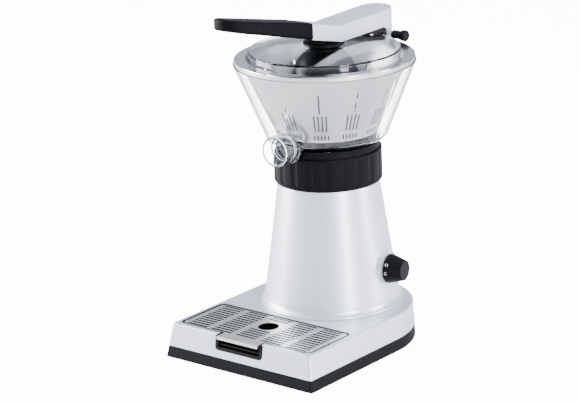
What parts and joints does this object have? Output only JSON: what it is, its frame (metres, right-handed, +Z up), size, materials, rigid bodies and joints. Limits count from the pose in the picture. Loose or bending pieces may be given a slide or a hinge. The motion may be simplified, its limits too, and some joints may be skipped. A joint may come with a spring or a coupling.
{
  "type": "citrus press juicer",
  "caption": "Electric citrus press: flared silver column on a drip base, black lock collar, clear bowl with a spout, slotted steel basket, clear lid and a cranked lever with a black grip.",
  "frame": {"origin": "on the table, under the middle of the whole object's outline", "axes": "+Z up, +X to the right, -Y to the front, where the spout, the drip tray and the grip point"},
  "size_m": [0.2, 0.272, 0.3806],
  "materials": {
    "silver_paint": "satin metallic lacquer",
    "black_base": "fine matt grain",
    "black_collar": "satin black",
    "black_grip": "soft-touch matt",
    "black_knob": "satin black",
    "black_tray": "smooth black",
    "inner_plastic": "moulded",
    "clear_plastic": "clear polished plastic",
    "basket_steel": "satin stainless",
    "rim_steel": "polished stainless",
    "grille_steel": "brushed stainless",
    "foot_rubber": "matt",
    "seal_rubber": "matt",
    "screw_steel": "zinc plated",
    "shaft_steel": "ground",
    "motor_steel": "galvanised sheet",
    "motor_iron": "laminated iron",
    "gear_plastic": "white acetal",
    "bush_bronze": "sintered bronze",
    "cone_plastic": "glossy black",
    "board_green": "circuit board"
  },
  "bodies": {
    "base": {"base_plate": "black_base", "rubber_feet": "foot_rubber", "base_screws": "screw_steel", "base_cover": "silver_paint", "cord_gland": "seal_rubber", "tower": "silver_paint", "tower_screws": "screw_steel", "motor_can": "motor_steel", "motor_end_cap": "inner_plastic", "motor_stator": "motor_iron", "motor_screws": "screw_steel", "gear_case": "inner_plastic", "gear_cover": "inner_plastic", "lay_shaft": "shaft_steel", "lower_bush": "bush_bronze", "upper_bush": "bush_bronze", "shaft_seal": "seal_rubber", "deck": "inner_plastic", "bowl_gasket": "seal_rubber", "bowl": "clear_plastic", "hinge_bracket": "inner_plastic", "bracket_screws": "screw_steel", "switch_body": "inner_plastic", "control_board": "board_green"},
    "lever": {"arm_shell": "silver_paint", "arm_frame": "inner_plastic", "grip": "black_grip", "press_hub": "black_knob", "lid": "clear_plastic", "press_cup": "cone_plastic", "hub_screw": "screw_steel"},
    "hinge_pin_set": {"hinge_pin": "shaft_steel", "pin_knob": "black_knob"},
    "reamer_drive": {"reamer": "cone_plastic", "drive_shaft": "shaft_steel", "output_gear": "gear_plastic"},
    "lay_gear_set": {"lay_gear": "gear_plastic"},
    "motor_rotor_set": {"motor_rotor": "motor_iron", "motor_pinion": "shaft_steel"},
    "basket": {"filter_basket": "basket_steel", "filter_rim": "rim_steel", "basket_hub": "inner_plastic"},
    "lock_collar": {"collar": "black_collar"},
    "spout_set": {"spout": "clear_plastic", "spout_o_ring": "seal_rubber"},
    "knob_set": {"knob": "black_knob", "knob_shaft": "shaft_steel"},
    "tray": {"drip_tray": "black_tray"},
    "grille": {"drip_grille": "grille_steel"}
  },
  "joints": [
    {"name": "lever_hinge", "type": "hinge", "parent": "base", "child": "lever", "pos_m": [0, 0.1255, 0.314], "axis": [-1, 0, 0], "range_deg": [0, 90]},
    {"name": "hinge_pin_pull", "type": "slide", "parent": "base", "child": "hinge_pin_set", "axis": [1, 0, 0], "range_m": [0, 0.055]},
    {"name": "reamer_spin", "type": "hinge", "parent": "base", "child": "reamer_drive", "pos_m": [0, 0.0285, 0.2], "axis": [0, 0, 1], "continuous": true},
    {"name": "lay_gear_spin", "type": "hinge", "parent": "base", "child": "lay_gear_set", "pos_m": [0, 0.0573, 0.118], "axis": [0, 0, 1], "continuous": true},
    {"name": "rotor_spin", "type": "hinge", "parent": "base", "child": "motor_rotor_set", "pos_m": [-0.01839, 0.04187, 0.08], "axis": [0, 0, 1], "continuous": true},
    {"name": "basket_spin", "type": "hinge", "parent": "base", "child": "basket", "pos_m": [0, 0.0285, 0.23], "axis": [0, 0, 1], "continuous": true},
    {"name": "collar_turn", "type": "hinge", "parent": "base", "child": "lock_collar", "pos_m": [0, 0.0285, 0.19], "axis": [0, 0, 1], "range_deg": [0, 45]},
    {"name": "spout_turn", "type": "hinge", "parent": "base", "child": "spout_set", "pos_m": [0, -0.0515, 0.224], "axis": [0, -1, 0], "range_deg": [0, 180]},
    {"name": "knob_turn", "type": "hinge", "parent": "base", "child": "knob_set", "pos_m": [0.07062, 0.03969, 0.0806], "axis": [0.9877, 0.1564, 0], "range_deg": [-60, 60]},
    {"name": "tray_lift", "type": "slide", "parent": "base", "child": "tray", "axis": [0, 0, 1], "range_m": [0, 0.06]},
    {"name": "grille_lift", "type": "slide", "parent": "tray", "child": "grille", "axis": [0, 0, 1], "range_m": [0, 0.04]}
  ],
  "couplings": [
    {"joint": "lay_gear_spin", "follows": "reamer_spin", "ratio": -5},
    {"joint": "rotor_spin", "follows": "reamer_spin", "ratio": 20}
  ]
}
